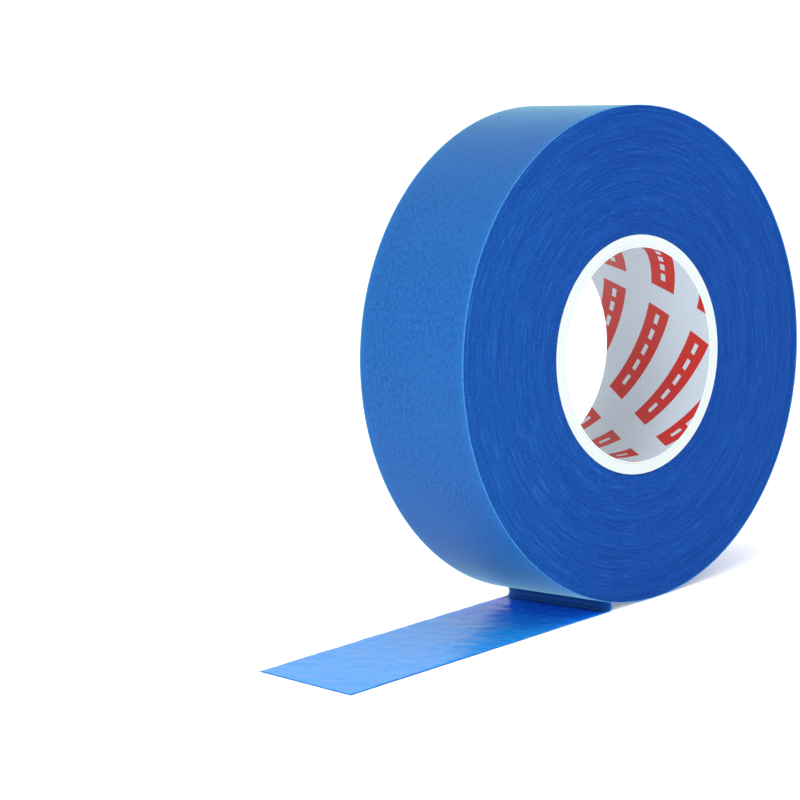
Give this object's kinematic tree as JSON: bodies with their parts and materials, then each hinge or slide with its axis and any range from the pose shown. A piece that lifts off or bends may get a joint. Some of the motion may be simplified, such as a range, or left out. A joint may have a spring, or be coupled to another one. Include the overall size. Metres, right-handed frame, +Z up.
{
  "type": "masking tape roll",
  "caption": "Roll of blue crepe masking tape on a white board core, standing on its rim, with a short tail peeled off and folded flat.",
  "frame": {"origin": "centre of the core's bore, half way across the roll's width", "axes": "+Y along the bore, +Z up, the tail runs towards -X; the roll and its tail rest on the plane z = -0.04425 m"},
  "size_m": [0.1194, 0.0254, 0.0885],
  "materials": {
    "printed_ply": "satin",
    "white_board": "matte",
    "wound_crepe": "matte",
    "crepe_backing": "satin"
  },
  "bodies": {
    "roll": {"core_liner": "printed_ply", "core_tube": "white_board", "wound_tape": "wound_crepe"},
    "unwinding_turn": {"last_turn": "crepe_backing", "peel_fold": "crepe_backing"},
    "free_tail": {"tail": "crepe_backing"}
  },
  "joints": [
    {"name": "unwind", "type": "hinge", "parent": "roll", "child": "unwinding_turn", "pos_m": [0, 0, 0], "axis": [0, 1, 0], "continuous": true},
    {"name": "tail_swing", "type": "hinge", "parent": "unwinding_turn", "child": "free_tail", "pos_m": [-0.01265, 0, -0.04417], "axis": [0, 1, 0], "range_deg": [-90, 28]}
  ]
}
